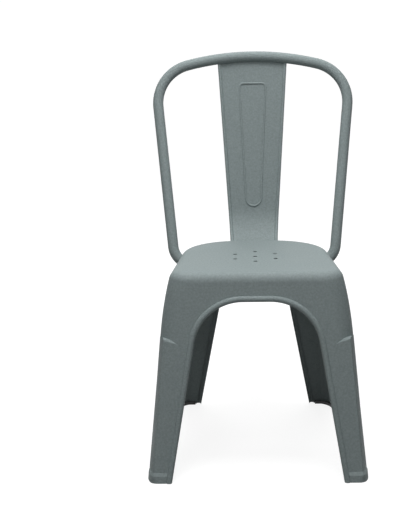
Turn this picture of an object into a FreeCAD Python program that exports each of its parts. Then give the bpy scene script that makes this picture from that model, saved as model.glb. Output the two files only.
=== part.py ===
import FreeCAD, Part

import math
import os

import Sketcher
from FreeCAD import Placement, Rotation, Vector

# Stacking bistro chair of pressed steel sheet and bent tube, welded up and powder coated.
# Millimetres. Z is up from the floor, the front of the chair is towards -Y, and X = 0 is its plane of symmetry.
# A rake, splay or taper is a run per unit of rise or length.

SIZES = [
    ("seat_height", 436, "top of the seat above the floor"),
    ("overall_height", 860, "top of the back hoop above the floor"),
    ("sheet", 1.0, "gauge of the pressed sheet"),
    ("front_reach", 258.5, "front face at the floor, from the middle of the chair"),
    ("rear_reach", 258, "rear face at the floor, from the middle of the chair"),
    ("side_reach", 209.5, "side face at the floor, level with the middle of the chair"),
    ("front_rake", 0.087, "lean of the front face"),
    ("rear_rake", 0.2756, "lean of the rear face"),
    ("side_splay", 0.084, "lean of the side faces"),
    ("plan_taper", 0.08, "narrowing of the chair towards the back"),
    ("shoulder_start", 300, "height where the sides begin to roll in to the seat"),
    ("shoulder_radius", 765, "radius of that roll"),
    ("front_corner_radius", 38, "front corner at the seat"),
    ("rear_corner_radius", 132, "rear corner at the seat"),
    ("leg_corner_radius", 42, "upper corner of a leg, at the shoulder"),
    ("front_ridge_setback", 12.5, "corner ridge of a front leg, from the corner of its two faces"),
    ("rear_ridge_setback", 26, "corner ridge of a rear leg, from the corner of its two faces"),
    ("ridge_round", 2, "rounding of that ridge"),
    ("crescent_height", 304.5, "top of the corner ridge, at the crescent step"),
    ("crescent_fall", 0.3, "fall of the crescent along the end face, away from the ridge"),
    ("crescent_round", 7.5, "rounding of the crescent's edge"),
    ("crescent_back_fall", 0.2, "fall of the step behind that edge, into the leg"),
    ("bead_radius", 6.3, "half-round bead along the front and rear arches, down to the feet"),
    ("side_bead_radius", 4.3, "the same along the side arches"),
    ("front_gap", 178.4, "half the gap between the front feet at the floor"),
    ("front_gap_taper", 0.171, "narrowing of that gap upwards"),
    ("front_arch_height", 377, "underside of the front arch"),
    ("front_arch_radius", 102, "corner of the front arch"),
    ("rear_gap", 133.4, "half the gap between the rear feet at the floor"),
    ("rear_gap_taper", 0.19, "narrowing of that gap upwards"),
    ("rear_arch_height", 360, "underside of the rear arch"),
    ("rear_arch_radius", 62, "corner of the rear arch"),
    ("side_gap_front", 206, "front end of the side gap at the floor, ahead of the middle"),
    ("side_gap_front_taper", 0.167, "narrowing of the side gap upwards, at its front"),
    ("side_gap_rear", 206, "rear end of the side gap at the floor, behind the middle"),
    ("side_gap_rear_taper", 0.33, "narrowing of the side gap upwards, at its rear"),
    ("side_arch_height", 330, "underside of the side arch"),
    ("side_arch_radius", 80, "corner of the side arch"),
    ("side_split", 30, "weld between a front and a rear leg, ahead of the middle"),
    ("leg_bottom", 1, "lower edge of the legs, clear of the floor"),
    ("collar_height", 24, "top of the foot collar"),
    ("collar_ledge", 8, "height of the sloping ledge of the collar"),
    ("collar_depth", 3.0, "how far the collar stands proud of the leg"),
    ("collar_ridge_round", 8, "rounding of the ridge on the collar, at its ledge"),
    ("foot_ridge_round", 18, "the same at the floor"),
    ("skirt_bottom", 408, "lower edge of the seat's skirt, welded edge to edge to the legs"),
    ("seat_roll_radius", 20, "rolled edge of the seat"),
    ("drain_hole", 9.5, "diameter of the seat's drain holes"),
    ("drain_ring_radius", 50, "ring of six drain holes round the seventh"),
    ("drain_centre", 53, "centre of the drain holes, ahead of the middle"),
    ("drain_ring_count", 6, "drain holes in the ring"),
    ("weld_gap", 0.05, "clearance where pieces are fitted to each other for welding"),
    ("tube_diameter", 24, "back hoop tube"),
    ("tube_wall", 1.5, "wall of that tube"),
    ("hoop_top_back", 242, "top of the hoop, behind the middle of the chair"),
    ("hoop_foot_back", 105.3, "lower ends of the hoop, behind the middle"),
    ("hoop_foot_height", 386, "lower ends of the hoop above the floor"),
    ("hoop_foot_width", 181.6, "half the hoop's width where its sides run out at that height"),
    ("hoop_side_taper", 0.1, "widening of the hoop upwards"),
    ("hoop_crown_radius", 610, "gentle arch of the hoop's top"),
    ("hoop_corner_radius", 91, "upper bends of the hoop"),
    ("hoop_foot_radius", 45, "lower bends of the hoop"),
    ("hoop_end", 95, "inner end of the hoop's feet before they are fitted to the legs"),
    ("splat_top_width", 155.5, "back panel at the hoop"),
    ("splat_foot_width", 101.5, "back panel at the seat"),
    ("splat_sweep_radius", 96, "forward sweep of the panel to the seat"),
    ("splat_foot_slope", 62, "direction of the panel where it meets the seat, in degrees from upright"),
    ("splat_landing", 35, "where it meets the rolled edge of the seat, in degrees from its top"),
    ("splat_overrun", 12, "length by which the panel is cut long before it is fitted to the seat"),
    ("splat_edge_radius", 4, "rolled side edges of the panel"),
    ("loop_top", 50, "top of the pressed loop, along the panel from the hoop"),
    ("loop_length", 284, "length of the pressed loop"),
    ("loop_top_width", 61, "width of the loop at its top"),
    ("loop_foot_radius", 17.5, "round lower end of the loop"),
    ("loop_corner_radius", 9, "upper corners of the loop"),
    ("loop_bead_radius", 2.8, "section of the pressed loop"),
    ("loop_bead_rise", 2.0, "how far it stands proud of the panel"),
    ("strap_width", 22, "flat bars of the cross brace"),
    ("strap_gauge", 3, "thickness of those bars"),
    ("strap_height", 392, "underside of the lower bar"),
    ("cap_spacing", 128, "stacking caps, from the crossing of the bars"),
    ("cap_radius", 10, "stacking cap, where it lies against the bar"),
    ("cap_tip_radius", 6.5, "its flat lower end"),
    ("cap_height", 7, "how far it hangs below the bar"),
    ("cap_stem_radius", 4, "stem of a cap, pushed through the bar"),
    ("cap_head_radius", 5.5, "head that holds the stem"),
    ("cap_head_height", 2.5, "height of that head"),
    ("pad_height", 8, "rubber foot pad, from the floor up"),
    ("pad_width", 5, "thickness of the pad behind the sheet"),
    ("pad_clearance", 0.25, "gap between the pad and the sheet"),
]

# Two places nearer than NEAR are one; FAR is beyond every face of a leg; a cutting form runs MARGIN past its cut.
NEAR = 0.05
FAR = 400.0
MARGIN = 10.0

doc = FreeCAD.newDocument("bistro_chair")
sheet = doc.addObject("Spreadsheet::Sheet", "sizes")
for row, (alias, value, note) in enumerate(SIZES, start=1):
    sheet.set("A%d" % row, note)
    sheet.set("B%d" % row, str(value))
    sheet.setAlias("B%d" % row, alias)
doc.recompute()


def size(alias):
    """A driving dimension, from the sheet."""
    return float(sheet.get(alias))


def worth(formula):
    """The value of a formula over the sheet, as the expression engine works it out."""
    return float(sheet.evalExpression(formula))


LEG_TOP = worth("sizes.skirt_bottom - sizes.weld_gap")
SHELF = worth("sizes.collar_height - sizes.collar_ledge")


def feature(name, shape):
    """A document object that holds a shape made with Part's own functions."""
    made = doc.addObject("Part::Feature", name)
    made.Shape = shape
    return made


# Paths of straight runs and tangent arcs


def rounding(before, corner, after, radius):
    """Start, middle and end of the arc of that radius which rounds a corner of a path."""
    to_before = (before - corner).normalize()
    to_after = (after - corner).normalize()
    half_angle = to_before.getAngle(to_after) / 2
    setback = radius / math.tan(half_angle)
    bisector = (to_before + to_after).normalize()
    centre = corner + bisector * (radius / math.sin(half_angle))
    return corner + to_before * setback, centre - bisector * radius, corner + to_after * setback


def path_edges(points, radii):
    """The edges of an open path through the points, with its inner corners rounded."""
    edges = []
    here = points[0]
    for before, corner, after, radius in zip(points, points[1:], points[2:], radii):
        start, middle, end = rounding(before, corner, after, radius)
        edges.append(Part.LineSegment(here, start).toShape())
        edges.append(Part.Arc(start, middle, end).toShape())
        here = end
    edges.append(Part.LineSegment(here, points[-1]).toShape())
    return edges


def filled(points, radii):
    """The face inside a closed outline: an open rounded path, closed by a straight line."""
    edges = path_edges(points, radii)
    edges.append(Part.LineSegment(points[-1], points[0]).toShape())
    return Part.Face(Part.Wire(edges))


def swept(edges, profile, binormal):
    """A solid swept along a flat path, its section kept square to the path and to the path's plane."""
    pipe = Part.BRepOffsetAPI.MakePipeShell(Part.Wire(edges))
    pipe.setBiNormalMode(binormal)
    pipe.add(profile)
    pipe.build()
    pipe.makeSolid()
    solid = pipe.shape()
    if solid.Volume < 0:
        solid.reverse()
    return solid


def ring_wire(centre, axis, radius):
    return Part.Wire(Part.Circle(centre, axis, radius).toShape())


def half_space(point, normal):
    """A large block that lies on the side of a plane which the normal points to."""
    reach = 2 * FAR
    corners = [Vector(-reach, -reach), Vector(reach, -reach), Vector(reach, reach), Vector(-reach, reach)]
    block = Part.Face(Part.makePolygon(corners + corners[:1])).extrude(Vector(0, 0, reach))
    block.Placement = Placement(point, Rotation(Vector(0, 0, 1), normal))
    return block


# The outer faces of the legs. An end is the front (-1) or the rear (1) of the chair.
# The crescent's rounding starts CRESCENT_LEAD ahead of the face that it cuts.

FRONT = -1
REAR = 1
CRESCENT_LEAD = 0.3


def end_y(end, z, inset=0.0):
    """The front or rear face at a height, moved into the chair by the inset."""
    reach = size("front_reach") if end == FRONT else size("rear_reach")
    rake = size("front_rake") if end == FRONT else size("rear_rake")
    return end * (reach - z * rake - inset * math.hypot(1, rake))


def shoulder(inset):
    """Centre, radius and lower end of the arc by which the right side rolls in to the seat, at Y = 0."""
    lean = math.atan(size("side_splay"))
    outward = Vector(math.cos(lean), 0, math.sin(lean))
    start = size("shoulder_start")
    knee = Vector(size("side_reach") - start * size("side_splay"), 0, start)
    centre = knee - outward * size("shoulder_radius")
    radius = size("shoulder_radius") - inset * math.hypot(1, size("plan_taper"))
    return centre, radius, centre + outward * radius


def side_x(y, z, inset=0.0):
    """The right side face at a height and a place along the chair."""
    centre, radius, knee = shoulder(inset)
    if z > knee.z:
        level = centre.x + math.sqrt(radius**2 - (z - centre.z) ** 2)
    else:
        level = knee.x + (knee.z - z) * size("side_splay")
    return level - y * size("plan_taper")


def quarter_box(end, low, high, past=0.0):
    """The quarter of the chair that belongs to one right-hand leg, and past it by a margin."""
    weld = -size("side_split") - end * past
    near = min(weld, end * FAR)
    far = max(weld, end * FAR)
    return Part.makeBox(FAR + past, far - near, high - low, Vector(-past, near, low))


def side_block(inset, low, high):
    """Everything to the left of the right side face."""
    centre, radius, knee = shoulder(inset)
    foot = Vector(side_x(0, low, inset), 0, low)
    crown = Vector(side_x(0, high, inset), 0, high)
    outline = [Part.LineSegment(Vector(-FAR, 0, low), foot).toShape()]
    if high > knee.z:
        halfway = (knee.z + high) / 2
        middle = Vector(side_x(0, halfway, inset), 0, halfway)
        outline.append(Part.LineSegment(foot, knee).toShape())
        outline.append(Part.Arc(knee, middle, crown).toShape())
    else:
        outline.append(Part.LineSegment(foot, crown).toShape())
    outline.append(Part.LineSegment(crown, Vector(-FAR, 0, high)).toShape())
    outline.append(Part.LineSegment(Vector(-FAR, 0, high), Vector(-FAR, 0, low)).toShape())
    along = Vector(-size("plan_taper"), 1, 0) * FAR
    face = Part.Face(Part.Wire(outline))
    face.translate(-along)
    return face.extrude(along * 2)


def end_block(end, inset, low, high, past):
    """Everything between the end face and the weld in the side, and past it by a margin."""
    weld = -size("side_split") - end * past
    corners = [
        Vector(-past, end_y(end, low, inset), low),
        Vector(-past, weld, low),
        Vector(-past, weld, high),
        Vector(-past, end_y(end, high, inset), high),
    ]
    return Part.Face(Part.makePolygon(corners + corners[:1])).extrude(Vector(FAR + past, 0, 0))


def square_block(end, inset, low, high, past):
    """One quarter of the chair below the seat, with a sharp corner where its two outer faces meet."""
    return side_block(inset, low, high).common(end_block(end, inset, low, high, past))


def corner_edges(block, end, inset):
    """Numbers and edges of the upright corner of a quarter block."""
    found = []
    for number, edge in enumerate(block.Edges, start=1):
        middle = edge.valueAt((edge.FirstParameter + edge.LastParameter) / 2)
        on_end = abs(middle.y - end_y(end, middle.z, inset)) < NEAR
        on_side = abs(middle.x - side_x(middle.y, middle.z, inset)) < NEAR
        if on_end and on_side:
            found.append((number, edge))
    return found


def rounded_block(end, inset, low, high, past):
    """A quarter block with the round upper corner, whose radius changes from the shoulder to the seat."""
    block = feature("square_block", square_block(end, inset, low, size("skirt_bottom"), past))
    radius_low = size("leg_corner_radius")
    radius_high = size("front_corner_radius") if end == FRONT else size("rear_corner_radius")
    rounds = []
    for number, edge in corner_edges(block.Shape, end, inset):
        heights = [edge.lastVertex().Z, edge.firstVertex().Z]
        at_ends = [radius_high if z > size("shoulder_start") + MARGIN else radius_low for z in heights]
        rounds.append((number, at_ends[0] - inset, at_ends[1] - inset))
    fillet = doc.addObject("Part::Fillet", "rounded_block")
    fillet.Base = block
    fillet.Edges = rounds
    doc.recompute()
    return fillet.Shape.cut(half_space(Vector(0, 0, high), Vector(0, 0, 1)))


def ridge_arc(end, inset, z):
    """Ends and middle of the corner arc below the crescent, in the level plane at z.

    It is tangent to the side face and meets the end face at the ridge. The corner of the two faces and the centre
    of the arc come last.
    """
    corner = Vector(side_x(end_y(end, z), z), end_y(end, z), z)
    along_side = Vector(end * size("plan_taper"), -end, 0).normalize()
    into_side = Vector(-abs(along_side.y), along_side.x * -end, 0)
    on_side = corner + along_side * size("leg_corner_radius")
    end_setback = size("front_ridge_setback") if end == FRONT else size("rear_ridge_setback")
    across = corner + Vector(-end_setback, 0, 0) - on_side
    radius = across.dot(across) / (2 * across.dot(into_side))
    centre = on_side + into_side * radius
    radius -= inset * math.hypot(1, size("side_splay"))
    y = end_y(end, z, inset)
    ridge = Vector(centre.x + math.sqrt(radius**2 - (y - centre.y) ** 2), y, z)
    flank = centre - into_side * radius
    between = ((ridge - centre) + (flank - centre)).normalize()
    return ridge, centre + between * radius, flank, corner, centre


def ridged_block(end, inset, low, high, past):
    """A quarter block with the ridged corner that a leg has below the crescent."""
    ridge, middle, flank, corner, centre = ridge_arc(end, inset, low)
    beyond = -end * FAR
    loop = [
        flank,
        Vector(side_x(beyond, low, inset), beyond, low),
        Vector(-FAR, beyond, low),
        Vector(-FAR, ridge.y, low),
        ridge,
    ]
    outline = [Part.Arc(ridge, middle, flank).toShape()]
    for here, there in zip(loop, loop[1:]):
        outline.append(Part.LineSegment(here, there).toShape())
    top = ridge_arc(end, inset, size("shoulder_start"))[3]
    slant = (top - corner) * ((high - low) / (top.z - corner.z))
    block = Part.Face(Part.Wire(outline)).extrude(slant)
    along_ridge = []
    for edge in block.Edges:
        middle = edge.valueAt((edge.FirstParameter + edge.LastParameter) / 2)
        at_ridge = ridge + slant * ((middle.z - low) / slant.z)
        if edge.Length > slant.z and (middle - at_ridge).Length < NEAR:
            along_ridge.append(edge)
    block = block.makeFillet(size("ridge_round"), along_ridge)
    return block.common(quarter_box(end, low, high, past))


def under_crescent(end, inset):
    """The room below the crescent: a block with one rounded edge, which falls along the end face from the ridge.

    The rounding starts a little ahead of the end face, so that it cuts the face at a clear angle.
    """
    fall = size("crescent_fall")
    rake = size("front_rake") if end == FRONT else size("rear_rake")
    ridge = ridge_arc(end, 0.0, size("crescent_height"))[0]
    along = Vector(-1, end * rake * fall, -fall).normalize()
    inward = Vector(0, -end, -rake).normalize()
    upward = along.cross(inward)
    if upward.z < 0:
        upward = upward * -1
    radius = size("crescent_round") - inset
    ahead = -CRESCENT_LEAD + inset
    behind = ahead + radius + FAR

    def at(depth, height):
        return ridge + inward * depth + upward * (height - inset) - along * FAR

    slant = math.sqrt(0.5) * radius
    outline = [
        Part.LineSegment(at(ahead, -FAR), at(ahead, -radius)).toShape(),
        Part.Arc(at(ahead, -radius), at(ahead + radius - slant, slant - radius), at(ahead + radius, 0)).toShape(),
        Part.LineSegment(at(ahead + radius, 0), at(behind, -FAR * size("crescent_back_fall"))).toShape(),
        Part.LineSegment(at(behind, -FAR * size("crescent_back_fall")), at(behind, -FAR)).toShape(),
        Part.LineSegment(at(behind, -FAR), at(ahead, -FAR)).toShape(),
    ]
    return Part.Face(Part.Wire(outline)).extrude(along * 2 * FAR)


def leg_block(end, inset, low, high, past):
    """The outer or inner form of a leg: round corner above the crescent, ridged corner below it."""
    room = under_crescent(end, inset)
    above = rounded_block(end, inset, low, high, past).cut(room)
    below = ridged_block(end, inset, low, size("crescent_height") + MARGIN, past).common(room)
    return above.fuse(below)


def collar_outline(end, z, proud, ridge_round):
    """The level outline of a foot, its ridge rounded, closed through the inside of the leg."""
    ridge, middle, flank, corner, centre = ridge_arc(end, -proud, z)
    radius = (flank - centre).Length
    y = ridge.y - end * ridge_round
    pivot = Vector(centre.x + math.sqrt((radius - ridge_round) ** 2 - (y - centre.y) ** 2), y, z)
    on_end = Vector(pivot.x, ridge.y, z)
    on_arc = centre + (pivot - centre).normalize() * radius
    crest = pivot + (on_end - pivot + on_arc - pivot).normalize() * ridge_round
    between = centre + (on_arc - centre + flank - centre).normalize() * radius
    inner_y = -size("side_split") - end * MARGIN
    inner_side = Vector(side_x(inner_y, z, -proud), inner_y, z)
    edges = [Part.Arc(on_end, crest, on_arc).toShape(), Part.Arc(on_arc, between, flank).toShape()]
    loop = [flank, inner_side, Vector(-MARGIN, inner_y, z), Vector(-MARGIN, ridge.y, z), on_end]
    for here, there in zip(loop, loop[1:]):
        edges.append(Part.LineSegment(here, there).toShape())
    return Part.Wire(edges)


def collar_block(end):
    """The foot collar as a solid: a band whose corner is softer at the floor, then a ledge back to the leg."""
    proud = size("collar_depth")
    outlines = [
        collar_outline(end, size("leg_bottom"), proud, size("foot_ridge_round")),
        collar_outline(end, SHELF, proud, size("collar_ridge_round")),
        collar_outline(end, size("collar_height"), -size("sheet") / 2, size("ridge_round")),
    ]
    return Part.makeLoft(outlines, True, True)


def collar_room(end):
    """The room inside the collar, flush with the inner faces of the leg above it."""
    low = size("leg_bottom")
    wall = size("collar_depth") + size("sheet")
    outlines = [
        collar_outline(end, low - MARGIN, -size("sheet"), size("foot_ridge_round") - wall),
        collar_outline(end, low, -size("sheet"), size("foot_ridge_round") - wall),
        collar_outline(end, SHELF, -size("sheet"), size("collar_ridge_round") - wall),
    ]
    return Part.makeLoft(outlines, True, True)


# The arches between the legs


def end_point(end, inset, x, z):
    return Vector(x, end_y(end, z, inset), z)


def side_point(inset, y, z):
    """A point of the flat of the right side, carried on above the shoulder."""
    knee = shoulder(inset)[2]
    return Vector(knee.x + (knee.z - z) * size("side_splay") - y * size("plan_taper"), y, z)


def end_arch(end, inset):
    """Feet and corners of the arch at one end of the chair, its corner radius, outward normal and bead radius."""
    name = "front" if end == FRONT else "rear"
    rake = size(name + "_rake")
    low = size("leg_bottom") - MARGIN
    high = size(name + "_arch_height")
    foot = size(name + "_gap") - low * size(name + "_gap_taper")
    crown = size(name + "_gap") - high * size(name + "_gap_taper")
    outline = [(foot, low), (crown, high), (-crown, high), (-foot, low)]
    points = [end_point(end, inset, x, z) for x, z in outline]
    return points, size(name + "_arch_radius"), Vector(0, end, rake).normalize(), size("bead_radius")


def side_arch(inset):
    """The same for the arch in the right side."""
    low = size("leg_bottom") - MARGIN
    high = size("side_arch_height")
    outline = [
        (low * size("side_gap_front_taper") - size("side_gap_front"), low),
        (high * size("side_gap_front_taper") - size("side_gap_front"), high),
        (size("side_gap_rear") - high * size("side_gap_rear_taper"), high),
        (size("side_gap_rear") - low * size("side_gap_rear_taper"), low),
    ]
    points = [side_point(inset, y, z) for y, z in outline]
    normal = Vector(1, size("plan_taper"), size("side_splay")).normalize()
    return points, size("side_arch_radius"), normal, size("side_bead_radius")


def grown(points, amount):
    """The outline of an arch moved out from its opening by an amount."""
    moved = []
    for here, there, other in ((points[0], points[1], points[-1]), (points[-1], points[-2], points[0])):
        along = (there - here).normalize()
        away = here - other
        away = (away - along * away.dot(along)).normalize()
        moved.append(here + away * amount)
    corners = []
    for before, corner, after in zip(points, points[1:], points[2:]):
        to_before = (before - corner).normalize()
        to_after = (after - corner).normalize()
        half_angle = to_before.getAngle(to_after) / 2
        bisector = (to_before + to_after).normalize()
        corners.append(corner - bisector * (amount / math.sin(half_angle)))
    return [moved[0]] + corners + [moved[1]]


def arch_opening(points, radius, normal, bead):
    """What an arch removes from the sheet: up to the middle of the bead's outer wall."""
    amount = 2 * bead - size("sheet") / 2
    face = filled(grown(points, amount), [radius + amount] * 2)
    face.translate(normal * -4 * MARGIN)
    return face.extrude(normal * 8 * MARGIN)


def arch_bead(points, radius, normal, bead):
    """The half-round bead along an arch, pressed out of the sheet and hollow behind."""
    hollow = bead - size("sheet")
    skirt = 2 * size("sheet")
    path = grown(points, bead)
    start = path[0]
    along = (path[1] - start).normalize()
    across = along.cross(normal)

    def at(sideways, outwards):
        return start + across * sideways + normal * outwards

    profile = [
        Part.LineSegment(at(bead, -skirt), at(bead, 0)).toShape(),
        Part.Arc(at(bead, 0), at(0, bead), at(-bead, 0)).toShape(),
        Part.LineSegment(at(-bead, 0), at(-bead, -skirt)).toShape(),
        Part.LineSegment(at(-bead, -skirt), at(-hollow, -skirt)).toShape(),
        Part.LineSegment(at(-hollow, -skirt), at(-hollow, 0)).toShape(),
        Part.Arc(at(-hollow, 0), at(0, hollow), at(hollow, 0)).toShape(),
        Part.LineSegment(at(hollow, 0), at(hollow, -skirt)).toShape(),
        Part.LineSegment(at(hollow, -skirt), at(bead, -skirt)).toShape(),
    ]
    return swept(path_edges(path, [radius + bead] * 2), Part.Wire(profile), normal)


def leg(end):
    """A right-hand leg: one pressed sheet with its collar, beaded along both arches."""
    low = size("leg_bottom")
    outer = leg_block(end, 0.0, SHELF, LEG_TOP, MARGIN).fuse(collar_block(end))
    inner = leg_block(end, size("sheet"), SHELF, size("skirt_bottom"), 2 * MARGIN)
    pressed = outer.cut([inner, collar_room(end)])
    arches = [end_arch(end, size("sheet")), side_arch(size("sheet"))]
    pressed = pressed.cut([arch_opening(*arch) for arch in arches])
    pressed = pressed.fuse([arch_bead(*arch) for arch in arches])
    return pressed.common(quarter_box(end, low, LEG_TOP)).removeSplitter()


# Sketches bound to the sheet


def origin_plane(body, role):
    """One of a body's own origin planes or axes."""
    return [item for item in body.Origin.OriginFeatures if item.Role == role][0]


def sketch_on(body, name, role):
    """A sketch of a body, on one of the body's own planes."""
    sketch = body.newObject("Sketcher::SketchObject", name)
    sketch.AttachmentSupport = [(origin_plane(body, role), "")]
    sketch.MapMode = "FlatFace"
    return sketch


def line(sketch, start, end):
    return sketch.addGeometry(Part.LineSegment(Vector(*start), Vector(*end)), False)


def arc(sketch, centre, radius, start, end):
    """An arc from one angle to another, anticlockwise, in radians."""
    circle = Part.Circle(Vector(*centre), Vector(0, 0, 1), radius)
    return sketch.addGeometry(Part.ArcOfCircle(circle, start, end), False)


def bind(sketch, kind, *where, formula):
    """A dimension of a sketch that follows a formula over the sheet."""
    number = sketch.addConstraint(Sketcher.Constraint(kind, *where, worth(formula)))
    sketch.setExpression("Constraints[%d]" % number, formula)


def relate(sketch, kind, *where):
    sketch.addConstraint(Sketcher.Constraint(kind, *where))


ORIGIN = (-1, 1)
ACROSS = -1
UPRIGHT = -2
START = 1
END = 2
CENTRE = 3

# The seat: a tapered block between two outlines, its top edge rolled, hollowed from below, drained

FRONT_AT = "sizes.front_reach - LEVEL * sizes.front_rake - INSET"
REAR_AT = "sizes.rear_reach - LEVEL * sizes.rear_rake - INSET"
SLANT = "sqrt(1 + sizes.side_splay ^ 2)"
KNEE_X = "sizes.side_reach - sizes.shoulder_start * sizes.side_splay"
ROLL_X = "(" + KNEE_X + " - sizes.shoulder_radius / " + SLANT + ")"
ROLL_Z = "(sizes.shoulder_start - sizes.shoulder_radius * sizes.side_splay / " + SLANT + ")"
SIDE_AT = ROLL_X + " + sqrt(sizes.shoulder_radius ^ 2 - (LEVEL - " + ROLL_Z + ") ^ 2) - INSET"


def at_level(pattern, level, inset="0"):
    """A formula of the seat's faces, which carry on those of the legs, for a level and an inset."""
    return pattern.replace("LEVEL", level).replace("INSET", inset)


def quadrilateral(sketch, corners):
    """Four joined lines between level edges; the corners are pairs of formulas, anticlockwise."""
    points = [(worth(across), worth(up)) for across, up in corners]
    sides = [line(sketch, here, there) for here, there in zip(points, points[1:] + points[:1])]
    for here, there in zip(sides, sides[1:] + sides[:1]):
        relate(sketch, "Coincident", here, END, there, START)
    for side, (across, up), (x, y) in zip(sides, corners, points):
        if x < 0:
            bind(sketch, "DistanceX", side, START, *ORIGIN, formula="-(" + across + ")")
        else:
            bind(sketch, "DistanceX", *ORIGIN, side, START, formula=across)
        bind(sketch, "DistanceY", *ORIGIN, side, START, formula=up)


def rounded(body, name, base, wanted, formula):
    """A fillet of the edges of a feature that a test picks out by their middle."""
    chosen = []
    for number, edge in enumerate(base.Shape.Edges, start=1):
        if wanted(edge):
            chosen.append("Edge%d" % number)
    fillet = body.newObject("PartDesign::Fillet", name)
    fillet.Base = (base, chosen)
    fillet.setExpression("Radius", formula)
    doc.recompute()
    return fillet


def seat_form(body, prefix, low, high, inset):
    """A solid between the skirt's lower edge and the top of the seat, with a rolled upper edge."""
    profile = sketch_on(body, prefix + "_profile", "YZ_Plane")
    ends = [("-(" + at_level(FRONT_AT, low, inset) + ")", low), (at_level(REAR_AT, low, inset), low)]
    ends += [(at_level(REAR_AT, high, inset), high), ("-(" + at_level(FRONT_AT, high, inset) + ")", high)]
    quadrilateral(profile, ends)
    slab = body.newObject("PartDesign::Pad", prefix + "_slab")
    slab.Profile = profile
    slab.Midplane = True
    slab.setExpression("Length", "3 * sizes.side_reach")
    beside = sketch_on(body, prefix + "_side", "XZ_Plane")
    low_side = at_level(SIDE_AT, low, inset)
    high_side = at_level(SIDE_AT, high, inset)
    width = " + sizes.side_reach"
    quadrilateral(beside, [(low_side, low), (low_side + width, low), (high_side + width, high), (high_side, high)])
    side = body.newObject("PartDesign::Pocket", prefix + "_side_cut")
    side.Profile = beside
    side.UseCustomVector = True
    side.AlongSketchNormal = False
    side.Direction = Vector(-size("plan_taper"), 1, 0)
    side.setExpression("Direction.x", "-sizes.plan_taper")
    side.Midplane = True
    side.setExpression("Length", "4 * sizes.rear_reach")
    sides = body.newObject("PartDesign::Mirrored", prefix + "_side_cuts")
    sides.Originals = [side]
    sides.MirrorPlane = (origin_plane(body, "YZ_Plane"), [""])
    body.Tip = sides
    doc.recompute()

    def front_corner(edge):
        return edge.BoundBox.ZLength > NEAR and edge.CenterOfMass.y < 0

    def rear_corner(edge):
        return edge.BoundBox.ZLength > NEAR and edge.CenterOfMass.y > 0

    def rim(edge):
        return edge.BoundBox.ZMin > worth(high) - NEAR

    rear = rounded(body, prefix + "_rear_corners", sides, rear_corner, "sizes.rear_corner_radius - " + inset)
    front = rounded(body, prefix + "_front_corners", rear, front_corner, "sizes.front_corner_radius - " + inset)
    return rounded(body, prefix + "_roll", front, rim, "sizes.seat_roll_radius - " + inset)


seat = doc.addObject("PartDesign::Body", "seat_pan")
seat_block = seat_form(seat, "seat", "sizes.skirt_bottom", "sizes.seat_height", "0")
cavity = doc.addObject("PartDesign::Body", "seat_cavity")
seat_form(cavity, "cavity", "(sizes.skirt_bottom - sizes.sheet)", "(sizes.seat_height - sizes.sheet)", "sizes.sheet")
hollow = seat.newObject("PartDesign::Boolean", "seat_hollow")
hollow.Type = "Cut"
hollow.addObjects([cavity])
doc.recompute()


def drain_outline(name, offset_formula):
    """A drain hole's outline on the seat, ahead of the middle of the drain holes by an offset."""
    sketch = sketch_on(seat, name, "XY_Plane")
    sketch.setExpression("AttachmentOffset.Base.y", "-sizes.drain_centre")
    sketch.setExpression("AttachmentOffset.Base.z", "sizes.seat_height")
    circle = Part.Circle(Vector(0, worth(offset_formula)), Vector(0, 0, 1), size("drain_hole") / 2)
    hole = sketch.addGeometry(circle, False)
    relate(sketch, "PointOnObject", hole, CENTRE, UPRIGHT)
    bind(sketch, "DistanceY", *ORIGIN, hole, CENTRE, formula=offset_formula)
    bind(sketch, "Diameter", hole, formula="sizes.drain_hole")
    return sketch


def drilled(name, outline):
    cut = seat.newObject("PartDesign::Pocket", name)
    cut.Profile = outline
    cut.setExpression("Length", "sizes.seat_height - sizes.skirt_bottom")
    return cut


drilled("drain_middle", drain_outline("drain_middle_outline", "0 * sizes.drain_ring_radius"))
ring_outline = drain_outline("drain_ring_outline", "sizes.drain_ring_radius")
ring_hole = drilled("drain_ring_hole", ring_outline)
ring = seat.newObject("PartDesign::PolarPattern", "drain_ring")
ring.Originals = [ring_hole]
ring.Axis = (ring_outline, ["N_Axis"])
ring.Angle = 360
ring.setExpression("Occurrences", "sizes.drain_ring_count")
seat.Tip = ring
doc.recompute()

# The back hoop: one tube, bent in its own plane, which leans back

HOOP_BACK = "(sizes.hoop_top_back - sizes.hoop_foot_back)"
HOOP_UP = "(sizes.overall_height - sizes.tube_diameter / 2 - sizes.hoop_foot_height)"
HOOP_RISE = "sqrt(" + HOOP_BACK + " ^ 2 + " + HOOP_UP + " ^ 2)"
TUBE_RADIUS = "sizes.tube_diameter / 2"


def hoop_points():
    """Centres and joints of the hoop's right half, across and up in its plane."""
    rise = worth(HOOP_RISE)
    crown = size("hoop_crown_radius")
    corner = size("hoop_corner_radius")
    foot = size("hoop_foot_radius")
    along = Vector(size("hoop_side_taper"), 1).normalize()
    inward = Vector(-along.y, along.x)
    base = Vector(size("hoop_foot_width"), 0)
    crown_centre = Vector(0, rise - crown)
    start = base + inward * corner - crown_centre
    half = start.dot(along)
    reach = (crown - corner) ** 2 - start.dot(start)
    travel = math.sqrt(half**2 + reach) - half
    corner_centre = base + along * travel + inward * corner
    top = crown_centre + (corner_centre - crown_centre).normalize() * crown
    turn = math.pi / 2 - math.atan(size("hoop_side_taper"))
    setback = foot * math.tan(turn / 2)
    return {
        "crown_centre": crown_centre,
        "corner_centre": corner_centre,
        "top": top,
        "side_high": corner_centre - inward * corner,
        "side_low": base + along * setback,
        "foot_centre": base + Vector(-setback, foot),
        "foot": base + Vector(-setback, 0),
        "end": Vector(size("hoop_end"), 0),
    }


def angle_of(vector):
    return math.atan2(vector.y, vector.x)


def mirrored(point):
    return Vector(-point.x, point.y)


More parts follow.
